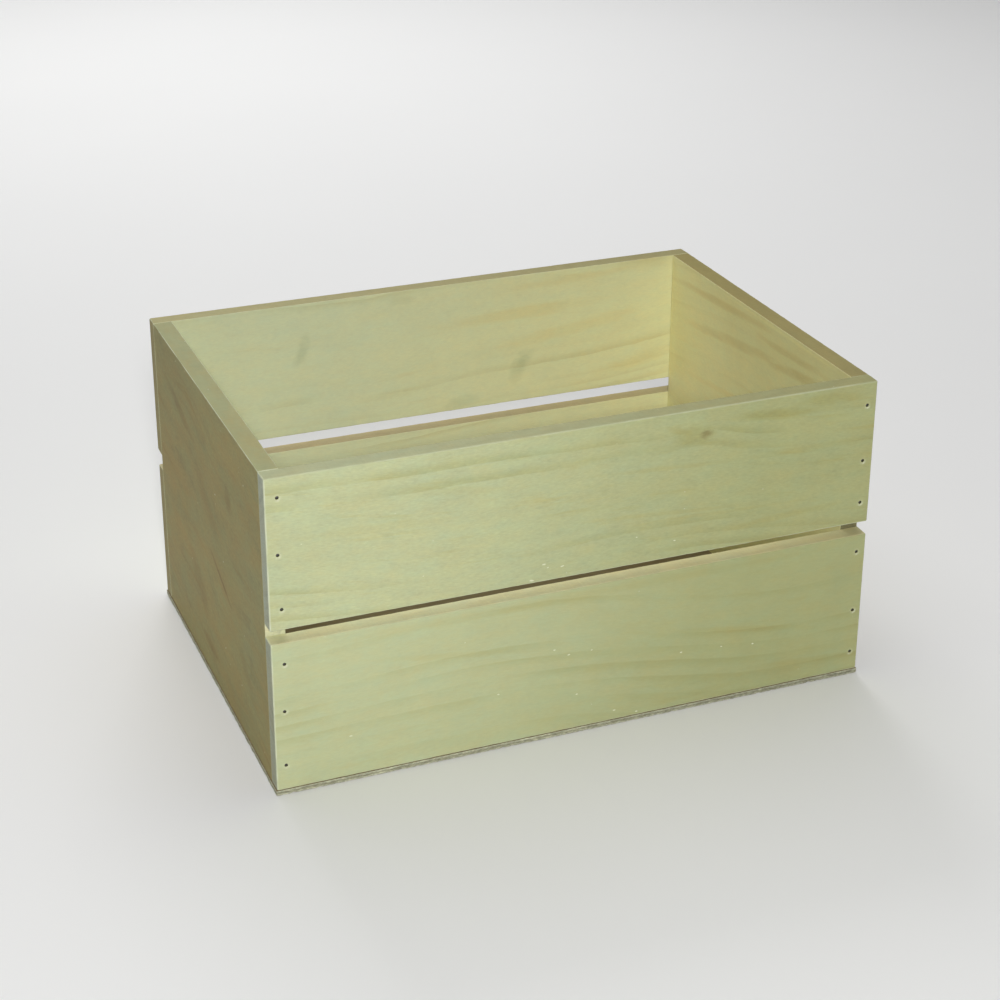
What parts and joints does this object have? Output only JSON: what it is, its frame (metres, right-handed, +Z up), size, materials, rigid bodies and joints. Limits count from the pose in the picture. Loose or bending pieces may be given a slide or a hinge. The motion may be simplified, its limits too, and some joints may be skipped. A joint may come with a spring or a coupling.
{
  "type": "apple crate",
  "caption": "Open-top slatted wooden apple crate: solid end panels, side slats with a slot between them, a thin bottom panel, all nailed together.",
  "frame": {"origin": "centre of the footprint, on the surface that the crate stands on", "axes": "+X along the length, +Y from the front side to the back side, +Z up to the open rim"},
  "size_m": [0.46, 0.319, 0.241],
  "materials": {
    "side_board": "smooth sanded, unfinished pale softwood",
    "end_board": "smooth sanded, unfinished pale softwood",
    "bottom_ply": "thin unfinished plywood with sawn edges",
    "nail_steel": "plain bright steel, dulled"
  },
  "bodies": {
    "root": {"left_end_panel": "end_board", "right_end_panel": "end_board", "front_upper_slat": "side_board", "front_lower_slat": "side_board", "back_upper_slat": "side_board", "back_lower_slat": "side_board", "bottom_panel": "bottom_ply", "front_upper_left_nails": "nail_steel", "front_upper_right_nails": "nail_steel", "front_lower_left_nails": "nail_steel", "front_lower_right_nails": "nail_steel", "back_upper_left_nails": "nail_steel", "back_upper_right_nails": "nail_steel", "back_lower_left_nails": "nail_steel", "back_lower_right_nails": "nail_steel", "bottom_front_brads": "nail_steel", "bottom_back_brads": "nail_steel", "bottom_left_brads": "nail_steel", "bottom_right_brads": "nail_steel"}
  },
  "joints": []
}
